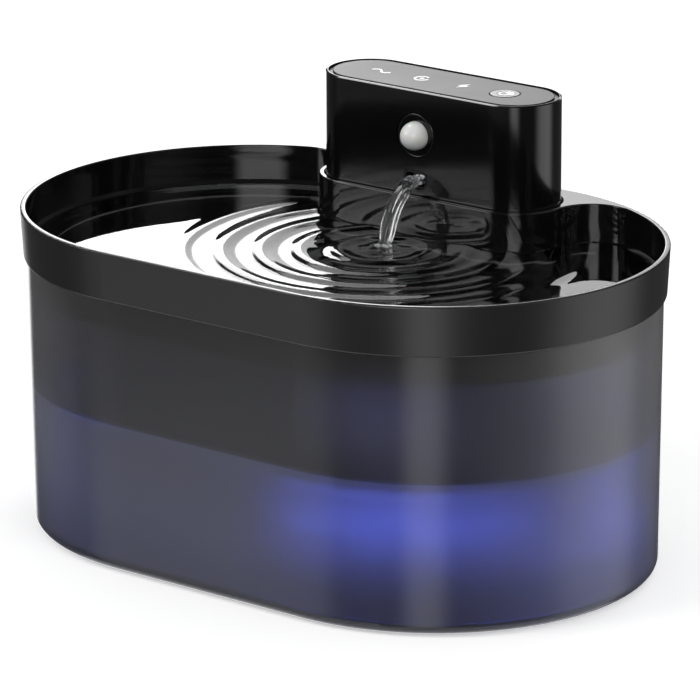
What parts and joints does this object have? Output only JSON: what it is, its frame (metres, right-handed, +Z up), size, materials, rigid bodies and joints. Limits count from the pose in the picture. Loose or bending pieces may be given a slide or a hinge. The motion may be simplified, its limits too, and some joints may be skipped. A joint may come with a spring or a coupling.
{
  "type": "pet water fountain",
  "caption": "Free-standing pet water fountain: see-through racetrack tank, black drinking tray and a lift-out spout head with motion sensor and submersible pump.",
  "frame": {"origin": "on the table, under the middle of the fountain", "axes": "+X along the long side, towards the end with the power button; -Y is the front, where the spout and the sensor face; +Z up"},
  "size_m": [0.2298, 0.152, 0.1458],
  "materials": {
    "smoky_clear": "see-through smoke-grey plastic, polished",
    "black_gloss": "black, polished inside, fine satin on the tray's outer band",
    "panel_gloss": "black gloss panel",
    "button_plastic": "black gloss button",
    "grey_silicone": "soft grey silicone",
    "black_silicone": "soft black silicone",
    "grey_plastic": "dark grey moulded plastic",
    "white_plastic": "white moulded plastic",
    "pump_plastic": "black moulded plastic",
    "white_lens": "milky white lens",
    "light_window": "clear to milky light guide",
    "clear_tube": "see-through tube",
    "circuit_board": "green solder mask",
    "switch_body": "black switch",
    "sensor_can": "tinned can",
    "socket_metal": "nickel-plated shell",
    "screw_steel": "stainless",
    "cell_wrap": "shrink wrap over a metal can",
    "stator_copper": "enamelled copper winding",
    "magnet_ferrite": "dark sintered ferrite",
    "shaft_ceramic": "white ceramic",
    "filter_cotton": "white fleece",
    "filter_carbon": "black carbon layer",
    "sponge": "open-cell sponge",
    "lead_black": "black jacket"
  },
  "bodies": {
    "tank": {"water_tank": "smoky_clear", "tank_feet": "grey_silicone"},
    "tray": {"drinking_tray": "black_gloss"},
    "filter": {"filter_cassette": "grey_plastic", "filter_cotton": "filter_cotton", "filter_carbon": "filter_carbon"},
    "head": {"head_shell": "black_gloss", "head_base": "grey_plastic", "base_seal": "grey_silicone", "base_screws": "screw_steel", "top_panel": "panel_gloss", "status_windows": "light_window", "button_switch": "switch_body", "main_board": "circuit_board", "status_leds": "light_window", "sensor_bezel": "black_gloss", "sensor_lens": "white_lens", "motion_sensor": "sensor_can", "sensor_board": "circuit_board", "spout_nozzle": "pump_plastic", "spout_duct": "grey_silicone", "duct_o_ring": "grey_silicone", "riser_tube": "clear_tube", "battery_cell": "cell_wrap", "battery_cradle": "white_plastic", "charging_socket": "socket_metal", "charging_board": "circuit_board", "pump_housing": "pump_plastic", "pump_end_cap": "pump_plastic", "motor_stator": "stator_copper", "volute_cover": "pump_plastic", "volute_seal": "grey_silicone", "impeller_shaft": "shaft_ceramic", "light_board": "circuit_board", "light_diffuser": "light_window", "pump_pads": "grey_silicone", "cable_conduit": "clear_tube", "pump_lead": "lead_black", "lead_grommet": "grey_silicone"},
    "button": {"power_button": "button_plastic"},
    "flap": {"socket_flap": "black_silicone"},
    "rotor": {"impeller": "white_plastic", "rotor_magnet": "magnet_ferrite"},
    "strainer": {"strainer_cap": "pump_plastic", "intake_sponge": "sponge"}
  },
  "joints": [
    {"name": "tray_lift", "type": "slide", "parent": "tank", "child": "tray", "axis": [0, 0, 1], "range_m": [0, 0.1]},
    {"name": "head_lift", "type": "slide", "parent": "tray", "child": "head", "axis": [0, 0, 1], "range_m": [0, 0.11]},
    {"name": "filter_pull", "type": "slide", "parent": "tray", "child": "filter", "axis": [0, 0, -1], "range_m": [0, 0.02]},
    {"name": "strainer_pull", "type": "slide", "parent": "head", "child": "strainer", "axis": [1, 0, 0], "range_m": [0, 0.015]},
    {"name": "button_press", "type": "slide", "parent": "head", "child": "button", "axis": [0, 0, -1], "range_m": [0, 0.0008], "stiffness_N_per_m": 1200, "springref_m": -0.0004},
    {"name": "flap_hinge", "type": "hinge", "parent": "head", "child": "flap", "pos_m": [0, 0.07085, 0.1117], "axis": [-1, 0, 0], "range_deg": [0, 100], "stiffness_Nm_per_rad": 0.0001},
    {"name": "impeller_spin", "type": "hinge", "parent": "head", "child": "rotor", "pos_m": [0, 0.05565, 0.02], "axis": [1, 0, 0], "continuous": true}
  ]
}
